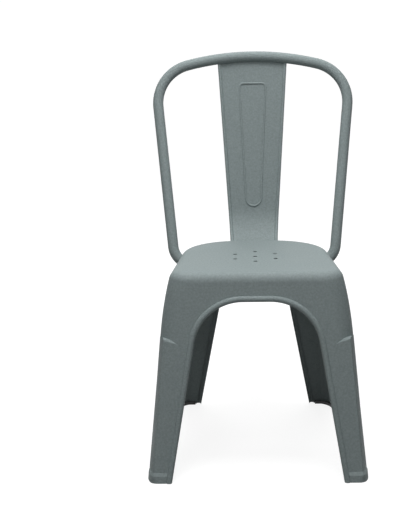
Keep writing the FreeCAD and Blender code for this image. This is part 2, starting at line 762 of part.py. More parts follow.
def hoop_path(body):
    """The centre line of the hoop, from its right end to its left end."""
    sketch = sketch_on(body, "hoop_path", "XZ_Plane")
    at = hoop_points()
    crown = size("hoop_crown_radius")
    corner = size("hoop_corner_radius")
    foot = size("hoop_foot_radius")
    up = math.pi / 2
    side_angle = angle_of(at["side_high"] - at["corner_centre"])
    top_angle = angle_of(at["top"] - at["crown_centre"])
    right_end = line(sketch, at["end"], at["foot"])
    right_foot = arc(sketch, at["foot_centre"], foot, -up, side_angle)
    right_side = line(sketch, at["side_low"], at["side_high"])
    right_corner = arc(sketch, at["corner_centre"], corner, side_angle, top_angle)
    top = arc(sketch, at["crown_centre"], crown, top_angle, math.pi - top_angle)
    left_corner = arc(sketch, mirrored(at["corner_centre"]), corner, math.pi - top_angle, math.pi - side_angle)
    left_side = line(sketch, mirrored(at["side_high"]), mirrored(at["side_low"]))
    left_foot = arc(sketch, mirrored(at["foot_centre"]), foot, math.pi - side_angle, 3 * up)
    left_end = line(sketch, mirrored(at["foot"]), mirrored(at["end"]))
    path = [right_end, right_foot, right_side, right_corner, top, left_corner, left_side, left_foot, left_end]
    for here, there in zip(path, path[1:]):
        relate(sketch, "Tangent", here, END, there, START)
    relate(sketch, "PointOnObject", right_end, START, ACROSS)
    relate(sketch, "Horizontal", right_end)
    relate(sketch, "Symmetric", right_end, START, left_end, END, UPRIGHT)
    relate(sketch, "Symmetric", right_foot, CENTRE, left_foot, CENTRE, UPRIGHT)
    relate(sketch, "Symmetric", right_corner, CENTRE, left_corner, CENTRE, UPRIGHT)
    relate(sketch, "PointOnObject", top, CENTRE, UPRIGHT)
    bind(sketch, "Radius", right_foot, formula="sizes.hoop_foot_radius")
    bind(sketch, "Radius", right_corner, formula="sizes.hoop_corner_radius")
    bind(sketch, "Radius", top, formula="sizes.hoop_crown_radius")
    bind(sketch, "DistanceX", *ORIGIN, right_end, START, formula="sizes.hoop_end")
    bind(sketch, "DistanceY", top, CENTRE, *ORIGIN, formula="sizes.hoop_crown_radius - " + HOOP_RISE)
    base = sketch.addGeometry(Part.Point(Vector(size("hoop_foot_width"), 0)), True)
    relate(sketch, "PointOnObject", base, START, ACROSS)
    relate(sketch, "PointOnObject", base, START, right_side)
    bind(sketch, "DistanceX", *ORIGIN, base, START, formula="sizes.hoop_foot_width")
    return sketch


def hoop_body(name, inner_formula, outer_formula):
    """The hoop with a round section, hollow where an inner radius is asked for."""
    body = doc.addObject("PartDesign::Body", name)
    path = hoop_path(body)
    section = sketch_on(body, name + "_section", "YZ_Plane")
    section.setExpression("AttachmentOffset.Base.z", "sizes.hoop_end")
    for formula in [inner_formula, outer_formula]:
        if formula:
            ring = section.addGeometry(Part.Circle(Vector(), Vector(0, 0, 1), worth(formula)), False)
            relate(section, "Coincident", ring, CENTRE, *ORIGIN)
            bind(section, "Radius", ring, formula=formula)
    pipe = body.newObject("PartDesign::AdditivePipe", name + "_pipe")
    pipe.Profile = section
    pipe.Spine = path
    lean = math.degrees(math.atan2(worth(HOOP_BACK), worth(HOOP_UP)))
    base = Vector(0, size("hoop_foot_back"), size("hoop_foot_height"))
    body.Placement = Placement(base, Rotation(Vector(1, 0, 0), -lean))
    body.setExpression("Placement.Base.y", "sizes.hoop_foot_back")
    body.setExpression("Placement.Base.z", "sizes.hoop_foot_height")
    doc.recompute()
    return body


tube = hoop_body("hoop_tube", TUBE_RADIUS + " - sizes.tube_wall", TUBE_RADIUS)
tube_envelope = hoop_body("hoop_envelope", "", TUBE_RADIUS + " + sizes.weld_gap")

# The back panel: a sheet swept forward to the seat, rolled side edges and a pressed loop


def splat_path():
    """The panel's line in the middle plane of the chair, from the centre of the hoop's tube down.

    Its top, the start, corner and end of its forward sweep, its direction at the seat and at the top, and the
    sweep's centre. The corner is where the straight runs on either side of the sweep would meet.
    """
    rake = size("rear_rake")
    roll = size("seat_roll_radius")
    roll_z = size("seat_height") - roll
    roll_y = worth(at_level(REAR_AT, "(sizes.seat_height - sizes.seat_roll_radius)"))
    roll_y -= roll * math.hypot(1, rake)
    landing = math.radians(size("splat_landing"))
    end = Vector(0, roll_y + roll * math.sin(landing), roll_z + roll * math.cos(landing))
    slope = math.radians(size("splat_foot_slope"))
    heading = Vector(0, -math.sin(slope), -math.cos(slope))
    radius = size("splat_sweep_radius")
    centre = end + Vector(0, heading.z, -heading.y) * radius
    top = Vector(0, size("hoop_top_back"), worth("sizes.overall_height - " + TUBE_RADIUS))
    to_centre = centre - top
    lean = math.atan2(-to_centre.y, -to_centre.z) - math.asin(radius / to_centre.Length)
    down = Vector(0, -math.sin(lean), -math.cos(lean))
    start = top + down * math.sqrt(to_centre.Length**2 - radius**2)
    corner = start + down * (radius * math.tan(down.getAngle(heading) / 2))
    return top, start, corner, end, heading, down, centre


def splat_profile(body):
    """The panel seen from the side: a strip of the sheet's gauge along the path."""
    top, start, corner, end, heading, down, centre = splat_path()
    sketch = sketch_on(body, "splat_profile", "YZ_Plane")
    half = size("sheet") / 2
    back = Vector(0, -down.z, down.y)
    foot_back = Vector(0, -heading.z, heading.y)
    overrun = heading * size("splat_overrun")

    def flat(point):
        return Vector(point.y, point.z)

    start_angle = angle_of(flat(start - centre))
    end_angle = angle_of(flat(end - centre))
    radius = size("splat_sweep_radius")
    back_line = line(sketch, flat(top + back * half), flat(start + back * half))
    back_arc = arc(sketch, flat(centre), radius + half, end_angle, start_angle)
    back_foot = line(sketch, flat(end + foot_back * half), flat(end + foot_back * half + overrun))
    foot = line(sketch, flat(end + foot_back * half + overrun), flat(end - foot_back * half + overrun))
    face_foot = line(sketch, flat(end - foot_back * half + overrun), flat(end - foot_back * half))
    face_arc = arc(sketch, flat(centre), radius - half, end_angle, start_angle)
    face_line = line(sketch, flat(start - back * half), flat(top - back * half))
    head = line(sketch, flat(top - back * half), flat(top + back * half))
    relate(sketch, "Tangent", back_line, END, back_arc, END)
    relate(sketch, "Tangent", back_arc, START, back_foot, START)
    relate(sketch, "Coincident", back_foot, END, foot, START)
    relate(sketch, "Coincident", foot, END, face_foot, START)
    relate(sketch, "Tangent", face_foot, END, face_arc, START)
    relate(sketch, "Tangent", face_arc, END, face_line, START)
    relate(sketch, "Coincident", face_line, END, head, START)
    relate(sketch, "Coincident", head, END, back_line, START)
    relate(sketch, "Coincident", back_arc, CENTRE, face_arc, CENTRE)
    relate(sketch, "Perpendicular", head, back_line)
    relate(sketch, "Perpendicular", foot, back_foot)
    bind(sketch, "Radius", back_arc, formula="sizes.splat_sweep_radius + sizes.sheet / 2")
    bind(sketch, "Distance", head, formula="sizes.sheet")
    return sketch


SPLAT_SPREAD = "(sizes.splat_top_width - sizes.splat_foot_width) / (sizes.overall_height - sizes.seat_height) / 2"
SPLAT_LOW = "(sizes.splat_foot_width / 2 - (sizes.seat_height - sizes.skirt_bottom) * " + SPLAT_SPREAD + ")"


def splat_half(z):
    return size("splat_foot_width") / 2 + (z - size("seat_height")) * worth(SPLAT_SPREAD)


panel = doc.addObject("PartDesign::Body", "splat_panel")
panel_pad = panel.newObject("PartDesign::Pad", "splat_strip")
panel_pad.Profile = splat_profile(panel)
panel_pad.Midplane = True
panel_pad.setExpression("Length", "sizes.splat_top_width + sizes.splat_foot_width")
shape_of_panel = doc.addObject("PartDesign::Body", "splat_outline")
outline = sketch_on(shape_of_panel, "splat_outline_sketch", "XZ_Plane")
quadrilateral(
    outline,
    [
        ("-" + SPLAT_LOW, "sizes.skirt_bottom"),
        (SPLAT_LOW, "sizes.skirt_bottom"),
        ("sizes.splat_top_width / 2", "sizes.overall_height"),
        ("-(sizes.splat_top_width / 2)", "sizes.overall_height"),
    ],
)
outline_pad = shape_of_panel.newObject("PartDesign::Pad", "splat_outline_pad")
outline_pad.Profile = outline
outline_pad.Midplane = True
outline_pad.setExpression("Length", "4 * sizes.hoop_top_back")
trimmed_panel = doc.addObject("Part::Common", "splat_trimmed")
trimmed_panel.Base = panel
trimmed_panel.Tool = shape_of_panel
doc.recompute()


def rolled_edge(side):
    """The rolled edge of the panel on one side, 1 or -1: a rod along the panel's edge."""
    top, start, corner, end, heading, down, centre = splat_path()
    places = []
    for point in (top, corner, end + heading * size("splat_overrun")):
        places.append(Vector(side * splat_half(point.z), point.y, point.z))
    path = path_edges(places, [size("splat_sweep_radius")])
    across = Vector(1, 0, -side * worth(SPLAT_SPREAD)).normalize()
    ring = ring_wire(places[0], places[1] - places[0], size("splat_edge_radius"))
    return swept(path, ring, across)


def loop_rod(radius):
    """A rod along the pressed loop, its centre a little behind the face of the panel."""
    top, start, corner, end, heading, down, centre = splat_path()
    back = Vector(0, -down.z, down.y)
    depth = size("loop_bead_radius") - size("loop_bead_rise") - size("sheet") / 2
    high = top + down * (size("loop_top") + size("tube_diameter") / 2) + back * depth
    half = size("loop_top_width") / 2
    foot = size("loop_foot_radius")
    length = size("loop_length") - foot
    slant = math.hypot(half, length)
    lean = math.asin(foot / slant) - math.atan2(half, length)
    run = math.sqrt(slant**2 - foot**2)

    def at(x, s):
        return high + Vector(x, 0, 0) + down * s

    before = at(0, 0)
    sharp = at(half, 0)
    touch = at(half + run * math.sin(lean), run * math.cos(lean))
    begin, bend, leave = rounding(before, sharp, touch, size("loop_corner_radius"))

    def mirror(point):
        return Vector(-point.x, point.y, point.z)

    path = [
        Part.LineSegment(before, begin).toShape(),
        Part.Arc(begin, bend, leave).toShape(),
        Part.LineSegment(leave, touch).toShape(),
        Part.Arc(touch, at(0, length + foot), mirror(touch)).toShape(),
        Part.LineSegment(mirror(touch), mirror(leave)).toShape(),
        Part.Arc(mirror(leave), mirror(bend), mirror(begin)).toShape(),
        Part.LineSegment(mirror(begin), before).toShape(),
    ]
    return swept(path, ring_wire(before, Vector(1, 0, 0), radius), back)


def splat():
    """The whole panel, fitted under the hoop's tube and onto the seat."""
    top, start, corner, end, heading, down, centre = splat_path()
    back = Vector(0, -down.z, down.y)
    bead = loop_rod(size("loop_bead_radius")).cut(half_space(top + back * (size("sheet") / 2), back))
    pressed = trimmed_panel.Shape.fuse(bead)
    pressed = pressed.cut(loop_rod(size("loop_bead_radius") - size("sheet")))
    pressed = pressed.fuse([rolled_edge(1), rolled_edge(-1)])
    lifted = seat_block.Shape.copy()
    landing = math.radians(size("splat_landing"))
    lifted.translate(Vector(0, math.sin(landing), math.cos(landing)) * size("weld_gap"))
    fitted = pressed.cut([tube_envelope.Shape, lifted])
    return max(fitted.Solids, key=lambda solid: solid.Volume)


back_splat = feature("back_splat", splat())

# The cross brace under the seat and the caps pushed into it


def brace_line():
    """The crossing of the two bars, and the directions from it to the right front and the left rear corner."""
    level = size("strap_height")
    front = Vector(side_x(end_y(FRONT, level), level), end_y(FRONT, level), 0)
    rear = Vector(-side_x(end_y(REAR, level), level), end_y(REAR, level), 0)
    crossing = front + (rear - front) * (front.x / (front.x - rear.x))
    return crossing, (front - crossing).normalize(), (rear - crossing).normalize()


def leg_cavity(end):
    """The room inside a right-hand leg, less the clearance for welding."""
    inset = size("sheet") + size("weld_gap")
    return rounded_block(end, inset, size("collar_height"), LEG_TOP, 6 * MARGIN)


cavities = {}
for end, name in ((FRONT, "front"), (REAR, "rear")):
    cavities[end] = feature("leg_cavity_" + name, leg_cavity(end))
    mirror = doc.addObject("Part::Mirroring", "leg_cavity_" + name + "_left")
    mirror.Source = cavities[end]
    mirror.Normal = Vector(1, 0, 0)
    cavities[end, "left"] = mirror


def bar(name, direction, level_formula):
    """Half of a flat bar, from the crossing outwards."""
    crossing = brace_line()[0]
    made = doc.addObject("Part::Box", name)
    made.setExpression("Length", "sizes.front_reach + sizes.rear_reach")
    made.setExpression("Width", "sizes.strap_width")
    made.setExpression("Height", "sizes.strap_gauge")
    turn = Rotation(Vector(0, 0, 1), math.degrees(angle_of(direction)))
    corner = crossing + turn.multVec(Vector(0, -size("strap_width") / 2, 0))
    made.Placement = Placement(Vector(corner.x, corner.y, worth(level_formula)), turn)
    made.setExpression("Placement.Base.z", level_formula)
    return made


def joined(kind, name, base, tool):
    """A boolean of two document objects."""
    made = doc.addObject("Part::" + kind, name)
    made.Base = base
    made.Tool = tool
    return made


def strap(name, front_cavity, rear_cavity, side, level_formula):
    """One bar of the brace; side is 1 where it runs from the right front, -1 from the left front."""
    crossing, to_front, to_rear = brace_line()
    to_front = Vector(side * to_front.x, to_front.y, 0)
    to_rear = Vector(side * to_rear.x, to_rear.y, 0)
    front = joined("Common", name + "_front", bar(name + "_front_bar", to_front, level_formula), front_cavity)
    rear = joined("Common", name + "_rear", bar(name + "_rear_bar", to_rear, level_formula), rear_cavity)
    whole = joined("Fuse", name + "_whole", front, rear)
    for number, direction in enumerate((to_front, to_rear), start=1):
        place = crossing + direction * size("cap_spacing")
        drill = doc.addObject("Part::Cylinder", name + "_drill_%d" % number)
        drill.setExpression("Radius", "sizes.cap_stem_radius + sizes.pad_clearance")
        drill.setExpression("Height", "3 * sizes.strap_gauge")
        drill.Placement = Placement(Vector(place.x, place.y, worth(level_formula) - size("strap_gauge")), Rotation())
        whole = joined("Cut", name + "_drilled_%d" % number, whole, drill)
    doc.recompute()
    whole.Label = name
    return whole


UPPER_LEVEL = "sizes.strap_height + sizes.strap_gauge"
strap_lower = strap("brace_strap_lower", cavities[FRONT], cavities[REAR, "left"], 1, "sizes.strap_height")
strap_upper = strap("brace_strap_upper", cavities[FRONT, "left"], cavities[REAR], -1, UPPER_LEVEL)


def cap(name, place, level_formula):
    """A tapered cap under a bar, with a stem through it and a head above it, turned about its axis."""
    body = doc.addObject("PartDesign::Body", name)
    sketch = sketch_on(body, name + "_profile", "XZ_Plane")
    low = -size("cap_height")
    tip = size("cap_tip_radius")
    stem = size("cap_stem_radius")
    head = size("cap_head_radius")
    under = worth("sizes.strap_gauge + 2 * sizes.weld_gap")
    over = under + size("cap_head_height")
    points = [(0, low), (tip, low), (size("cap_radius"), 0), (stem, 0)]
    points += [(stem, under), (head, under), (head, over), (0, over)]
    loop = [line(sketch, here, there) for here, there in zip(points, points[1:] + points[:1])]
    for here, there in zip(loop, loop[1:] + loop[:1]):
        relate(sketch, "Coincident", here, END, there, START)
    end_face, taper, ledge, shaft, shoulder_line, head_side, crown, axis = loop
    for level in (end_face, ledge, shoulder_line, crown):
        relate(sketch, "Horizontal", level)
    for upright in (shaft, head_side):
        relate(sketch, "Vertical", upright)
    relate(sketch, "PointOnObject", axis, START, UPRIGHT)
    relate(sketch, "PointOnObject", axis, END, UPRIGHT)
    relate(sketch, "PointOnObject", ledge, START, ACROSS)
    bind(sketch, "DistanceX", *ORIGIN, taper, START, formula="sizes.cap_tip_radius")
    bind(sketch, "DistanceX", *ORIGIN, ledge, START, formula="sizes.cap_radius")
    bind(sketch, "DistanceX", *ORIGIN, shaft, START, formula="sizes.cap_stem_radius")
    bind(sketch, "DistanceX", *ORIGIN, head_side, START, formula="sizes.cap_head_radius")
    bind(sketch, "DistanceY", axis, END, *ORIGIN, formula="sizes.cap_height")
    bind(sketch, "DistanceY", shaft, START, shaft, END, formula="sizes.strap_gauge + 2 * sizes.weld_gap")
    bind(sketch, "DistanceY", head_side, START, head_side, END, formula="sizes.cap_head_height")
    turned = body.newObject("PartDesign::Revolution", name + "_turned")
    turned.Profile = sketch
    turned.ReferenceAxis = (sketch, ["V_Axis"])
    turned.Angle = 360
    body.Placement = Placement(Vector(place.x, place.y, worth(level_formula)), Rotation())
    body.setExpression("Placement.Base.z", level_formula)
    doc.recompute()
    return body


def caps():
    """Two caps under each bar, at the same distance from the crossing."""
    crossing, to_front, to_rear = brace_line()
    spacing = size("cap_spacing")
    lower = "sizes.strap_height - sizes.weld_gap"
    upper = UPPER_LEVEL + " - sizes.weld_gap"
    front = crossing + to_front * spacing
    rear = crossing + to_rear * spacing
    return [
        cap("stack_cap_front_right", front, lower),
        cap("stack_cap_rear_left", rear, lower),
        cap("stack_cap_front_left", mirrored(front), upper),
        cap("stack_cap_rear_right", mirrored(rear), upper),
    ]


stack_caps = caps()

# The legs, the rubber pads in their feet, and the hoop fitted to them


def pad(end):
    """The rubber pad of a right-hand foot: an angle that fills the corner behind the collar."""
    name = "front" if end == FRONT else "rear"
    high = size("pad_height")
    inset = size("sheet") + size("pad_clearance")
    ridge_round = size("foot_ridge_round") - size("collar_depth") - inset
    outer = [collar_outline(end, z, -inset, ridge_round) for z in (0.0, high)]
    inset += size("pad_width")
    ridge_round -= size("pad_width")
    hollow = [collar_outline(end, z, -inset, ridge_round) for z in (-MARGIN, high + MARGIN)]
    bead = 2 * size("bead_radius") + size("sheet")
    inner = size(name + "_gap") + bead
    side_gap = size("side_gap_front") if end == FRONT else size("side_gap_rear")
    shut = end * (side_gap + bead)
    near = min(shut, end * FAR)
    keep = Part.makeBox(FAR, FAR - abs(shut), high, Vector(inner, near, 0))
    return Part.makeLoft(outer, True, True).cut(Part.makeLoft(hollow, True, True)).common(keep)


def pair(name, shape):
    """A right-hand piece and its mirror image."""
    right = feature(name + "_right", shape)
    left = doc.addObject("Part::Mirroring", name + "_left")
    left.Source = right
    left.Normal = Vector(1, 0, 0)
    return [right, left]


legs = pair("leg_front", leg(FRONT)) + pair("leg_rear", leg(REAR))
pads = pair("foot_pad_front", pad(FRONT)) + pair("foot_pad_rear", pad(REAR))
rear_form = rounded_block(REAR, -size("weld_gap"), size("collar_height"), LEG_TOP, 6 * MARGIN)
rear_forms = pair("rear_form", rear_form)
hoop_cut = joined("Cut", "hoop_right_fitted", tube, rear_forms[0])
hoop = joined("Cut", "back_hoop", hoop_cut, rear_forms[1])
doc.recompute()

pieces = {
    "seat_pan": seat,
    "back_hoop": hoop,
    "back_splat": back_splat,
    "brace_strap_lower": strap_lower,
    "brace_strap_upper": strap_upper,
}
for item in legs + pads + stack_caps:
    pieces[item.Name] = item

for item in doc.Objects:
    if "Invalid" in item.State or "Error" in item.State:
        raise RuntimeError("%s did not recompute" % item.Name)
for name, item in pieces.items():
    if item.Shape.isNull() or not item.Shape.isValid() or len(item.Shape.Solids) != 1:
        raise RuntimeError("%s is not one valid solid" % name)

os.makedirs("parts", exist_ok=True)
for name, item in pieces.items():
    item.Label = name
    item.Shape.exportStep("parts/%s.step" % name)
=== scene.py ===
"""Finish, light and camera for a stacking bistro chair of pressed, powder-coated steel."""

import math

import bmesh
import bpy
from bpy.props import FloatProperty, FloatVectorProperty, PointerProperty
from mathutils import Matrix, Vector

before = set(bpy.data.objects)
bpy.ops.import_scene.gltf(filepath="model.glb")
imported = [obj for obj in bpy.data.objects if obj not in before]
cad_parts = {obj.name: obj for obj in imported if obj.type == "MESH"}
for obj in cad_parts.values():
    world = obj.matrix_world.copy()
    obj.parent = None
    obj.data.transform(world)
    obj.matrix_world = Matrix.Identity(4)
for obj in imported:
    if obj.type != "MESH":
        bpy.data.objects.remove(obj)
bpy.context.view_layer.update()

bl_info = {
    "name": "Stacking bistro chair",
    "version": (1, 0, 0),
    "blender": (4, 5, 0),
    "location": "3D View > Sidebar > Bistro Chair",
    "description": "Finishes the pieces of a stacking bistro chair and sets up its studio",
    "category": "Object",
}

PHOTO_HEIGHT = 508
CORNERS = ("front_left", "front_right", "rear_left", "rear_right")
WHITE = (1.0, 1.0, 1.0, 1.0)


# Settings


def colour_setting(name, description, default):
    """A colour that the user picks."""
    return FloatVectorProperty(
        name=name,
        description=description,
        subtype="COLOR",
        size=3,
        min=0.0,
        max=1.0,
        default=default,
    )


def share_setting(name, description, default):
    """A share from nothing to one."""
    return FloatProperty(
        name=name,
        description=description,
        subtype="FACTOR",
        min=0.0,
        max=1.0,
        default=default,
    )


def length_setting(name, description, highest, default):
    """A length in metres."""
    return FloatProperty(
        name=name,
        description=description,
        subtype="DISTANCE",
        unit="LENGTH",
        min=0.0,
        max=highest,
        default=default,
    )


def lamp_setting(name, description, default):
    """The power of a lamp in watts."""
    return FloatProperty(
        name=name,
        description=description,
        subtype="POWER",
        unit="POWER",
        min=0.0,
        max=500.0,
        default=default,
    )


class CoatSettings(bpy.types.PropertyGroup):
    """The grey powder coat on every steel piece."""

    colour: colour_setting("Colour", "Mean colour of the powder coat", (0.2215, 0.262, 0.2635))
    mottle: share_setting("Mottle", "How far the colour of single grains wanders from the mean", 0.11)
    cloud: share_setting("Cloud", "How far the colour of whole areas wanders from the mean", 0.02)
    roughness: share_setting("Roughness", "Mean roughness of the satin surface", 0.6)
    gloss_swing: share_setting("Gloss swing", "How far the roughness wanders from its mean", 0.05)
    sheen: share_setting("Sheen", "Strength of the reflections, where a half is plain lacquer", 0.15)
    grain: length_setting("Grain", "Width of the fine pimples that the powder melts to", 0.02, 0.004)
    grain_depth: length_setting("Grain depth", "Height of those pimples", 0.001, 0.0001)
    cloud_width: length_setting("Cloud width", "Width of the areas of slightly uneven coat", 1.0, 0.09)


class TrimSettings(bpy.types.PropertyGroup):
    """The dark rubber and plastic under the chair."""

    rubber: colour_setting("Rubber", "Colour of the foot pads", (0.040, 0.041, 0.042))
    rubber_roughness: share_setting("Rubber roughness", "Roughness of the foot pads", 0.72)
    rubber_grain: length_setting("Rubber grain", "Width of the grain of the foot pads", 0.02, 0.0008)
    plastic: colour_setting("Plastic", "Colour of the stacking caps", (0.022, 0.023, 0.024))
    plastic_roughness: share_setting("Plastic roughness", "Roughness of the stacking caps", 0.45)
    plastic_grain: length_setting("Plastic grain", "Width of the grain of the stacking caps", 0.02, 0.0006)
    mottle: share_setting("Mottle", "How far both colours wander from their means", 0.2)
    gloss_swing: share_setting("Gloss swing", "How far both roughnesses wander from their means", 0.06)


class StageSettings(bpy.types.PropertyGroup):
    """Floor, lamps and camera."""

    floor_bounce: share_setting("Floor bounce", "Share of the lamps' light that the floor sends back", 0.26)
    floor_white: share_setting("Floor white", "White that the floor shows in the chair's shadow", 0.88)
    dome: share_setting("Dome", "Strength of the even light from all round", 0.05)
    overhead_power: lamp_setting("Overhead lamp", "Power of the soft box high above the seat", 38.0)
    middle_power: lamp_setting("Middle lamp", "Power of the wider soft box straight above the seat", 14.0)
    rear_power: lamp_setting("Rear lamp", "Power of the soft box above and behind the chair", 18.0)
    left_power: lamp_setting("Left lamp", "Power of the soft box above the camera's left", 16.0)
    front_power: lamp_setting("Front lamp", "Power of the low soft box behind the camera", 14.0)
    camera_place: FloatVectorProperty(
        name="Camera",
        description="Where the camera stands",
        subtype="TRANSLATION",
        unit="LENGTH",
        size=3,
        default=(-0.0285, -2.6975, 0.9889),
    )
    camera_turn: FloatVectorProperty(
        name="Camera turn",
        description="Yaw to the right, tilt down and roll of the camera",
        subtype="EULER",
        unit="ROTATION",
        size=3,
        default=(-0.029698, 0.203733, -0.016954),
    )
    lens_pixels: FloatProperty(
        name="Lens",
        description="Focal length, in pixels of the photograph's frame",
        min=100.0,
        max=5000.0,
        default=1252.0,
    )


class ChairSettings(bpy.types.PropertyGroup):
    """All settings of the chair."""

    coat: PointerProperty(type=CoatSettings)
    trim: PointerProperty(type=TrimSettings)
    stage: PointerProperty(type=StageSettings)


def settings(context):
    """The chair's settings in the open scene."""
    return context.scene.bistro_chair


# Materials

# The noise stays mostly between these two values, which are spread over a whole swing.
NOISE_LOW = 0.3
NOISE_HIGH = 0.7
NOISE_ROUGHNESS = 0.55
# How many finer layers each noise has.
COAT_DETAIL = 3.0
CLOUD_DETAIL = 2.0
MOULDED_DETAIL = 4.0
# Strength of the pimples, and their height on moulded pieces as a share of the grain's width.
COAT_BUMP = 1.0
MOULDED_BUMP = 0.6
MOULDED_DEPTH = 0.1
# Sockets of the mix node that belong to colours.
MIX_FACTOR = 0
MIX_FIRST = 6
MIX_SECOND = 7
MIX_RESULT = 2


class NodeSheet:
    """Short hand for laying out the nodes of one material or of the world."""

    def __init__(self, holder, output):
        holder.use_nodes = True
        self.holder = holder
        self.tree = holder.node_tree
        self.tree.nodes.clear()
        self.output = self.add(output)

    def add(self, kind, **values):
        """A node with its properties set; names that aren't properties are input sockets."""
        node = self.tree.nodes.new(kind)
        for key, value in values.items():
            if hasattr(node, key):
                setattr(node, key, value)
            else:
                node.inputs[key.replace("_", " ")].default_value = value
        return node

    def join(self, source, target):
        """Links an output to an input."""
        self.tree.links.new(source, target)

    def show(self, shader):
        """Puts a shader on the surface."""
        self.join(shader, self.output.inputs["Surface"])
        return self.holder


def material_sheet(name):
    """The empty sheet of a new material."""
    return NodeSheet(bpy.data.materials.new(name), "ShaderNodeOutputMaterial")


def grain_nodes(sheet, width, detail):
    """Noise over the object's own space, with features of the given width."""
    place = sheet.add("ShaderNodeTexCoord")
    noise = sheet.add("ShaderNodeTexNoise", Scale=1.0 / width, Detail=detail, Roughness=NOISE_ROUGHNESS)
    sheet.join(place.outputs["Object"], noise.inputs["Vector"])
    return noise


def ranged(sheet, noise, low, high):
    """The noise spread from one value to another."""
    spread = sheet.add(
        "ShaderNodeMapRange",
        From_Min=NOISE_LOW,
        From_Max=NOISE_HIGH,
        To_Min=low,
        To_Max=high,
    )
    sheet.join(noise.outputs["Fac"], spread.inputs["Value"])
    return spread.outputs["Result"]


def tinted(sheet, colour, noise, swing):
    """A colour that wanders by the swing to either side of its mean."""
    tint = sheet.add("ShaderNodeMix", data_type="RGBA")
    dark = [channel * (1.0 - swing) for channel in colour]
    light = [channel * (1.0 + swing) for channel in colour]
    tint.inputs[MIX_FIRST].default_value = dark + [1.0]
    tint.inputs[MIX_SECOND].default_value = light + [1.0]
    sheet.join(ranged(sheet, noise, 0.0, 1.0), tint.inputs[MIX_FACTOR])
    return tint.outputs[MIX_RESULT]


def clouded(sheet, colour, noise, swing):
    """A linked colour, brightened and darkened by the swing over whole areas."""
    shade = sheet.add("ShaderNodeMix", data_type="RGBA", blend_type="MULTIPLY")
    shade.inputs[MIX_FACTOR].default_value = 1.0
    sheet.join(colour, shade.inputs[MIX_FIRST])
    sheet.join(ranged(sheet, noise, 1.0 - swing, 1.0 + swing), shade.inputs[MIX_SECOND])
    return shade.outputs[MIX_RESULT]


def pimpled(sheet, skin, noise, strength, depth):
    """Raises the noise as fine pimples on a surface."""
    bump = sheet.add("ShaderNodeBump", Strength=strength, Distance=depth)
    sheet.join(noise.outputs["Fac"], bump.inputs["Height"])
    sheet.join(bump.outputs["Normal"], skin.inputs["Normal"])


def powder_coat(coat):
    """Satin powder coat: a fine pimpled skin, slightly uneven in colour and gloss."""
    sheet = material_sheet("powder_coat")
    skin = sheet.add("ShaderNodeBsdfPrincipled", Specular_IOR_Level=coat.sheen)
    fine = grain_nodes(sheet, coat.grain, COAT_DETAIL)
    broad = grain_nodes(sheet, coat.cloud_width, CLOUD_DETAIL)
    grains = tinted(sheet, coat.colour, fine, coat.mottle)
    sheet.join(clouded(sheet, grains, broad, coat.cloud), skin.inputs["Base Color"])
    gloss = ranged(sheet, broad, coat.roughness - coat.gloss_swing, coat.roughness + coat.gloss_swing)
    sheet.join(gloss, skin.inputs["Roughness"])
    pimpled(sheet, skin, fine, COAT_BUMP, coat.grain_depth)
    return sheet.show(skin.outputs["BSDF"])


def moulded(name, trim, colour, roughness, grain):
    """A dark moulded material with a fine matt grain."""
    sheet = material_sheet(name)
    skin = sheet.add("ShaderNodeBsdfPrincipled")
    fine = grain_nodes(sheet, grain, MOULDED_DETAIL)
    sheet.join(tinted(sheet, colour, fine, trim.mottle), skin.inputs["Base Color"])
    matt = ranged(sheet, fine, roughness - trim.gloss_swing, roughness + trim.gloss_swing)
    sheet.join(matt, skin.inputs["Roughness"])
    pimpled(sheet, skin, fine, MOULDED_BUMP, grain * MOULDED_DEPTH)
    return sheet.show(skin.outputs["BSDF"])


def coat_of(context):
    """The powder coat, made the first time that it is asked for."""
    return bpy.data.materials.get("powder_coat") or powder_coat(settings(context).coat)


def finish_nodes(names, material):
    """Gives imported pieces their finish."""
    for name in names:
        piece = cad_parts[name]
        piece.data.materials.clear()
        piece.data.materials.append(material)


# Pieces


class ChairOperator:
    """What the steps of the chair have in common."""

    bl_options = {"REGISTER", "UNDO"}


class CHAIR_OT_seat(ChairOperator, bpy.types.Operator):
    """Powder-coats the pressed seat"""

    bl_idname = "chair.seat"
    bl_label = "Seat"

    def execute(self, context):
        finish_nodes(["seat_pan"], coat_of(context))
        return {"FINISHED"}


class CHAIR_OT_legs(ChairOperator, bpy.types.Operator):
    """Powder-coats the four pressed legs"""

    bl_idname = "chair.legs"
    bl_label = "Legs"

    def execute(self, context):
        finish_nodes(["leg_" + corner for corner in CORNERS], coat_of(context))
        return {"FINISHED"}


class CHAIR_OT_back(ChairOperator, bpy.types.Operator):
    """Powder-coats the bent hoop and the back panel"""

    bl_idname = "chair.back"
    bl_label = "Back"

    def execute(self, context):
        finish_nodes(["back_hoop", "back_splat"], coat_of(context))
        return {"FINISHED"}


class CHAIR_OT_brace(ChairOperator, bpy.types.Operator):
    """Powder-coats the cross brace under the seat"""

    bl_idname = "chair.brace"
    bl_label = "Brace"

    def execute(self, context):
        finish_nodes(["brace_strap_lower", "brace_strap_upper"], coat_of(context))
        return {"FINISHED"}


class CHAIR_OT_caps(ChairOperator, bpy.types.Operator):
    """Gives the stacking caps their plastic"""

    bl_idname = "chair.caps"
    bl_label = "Stacking caps"

    def execute(self, context):
        trim = settings(context).trim
        plastic = moulded("cap_plastic", trim, trim.plastic, trim.plastic_roughness, trim.plastic_grain)
        finish_nodes(["stack_cap_" + corner for corner in CORNERS], plastic)
        return {"FINISHED"}


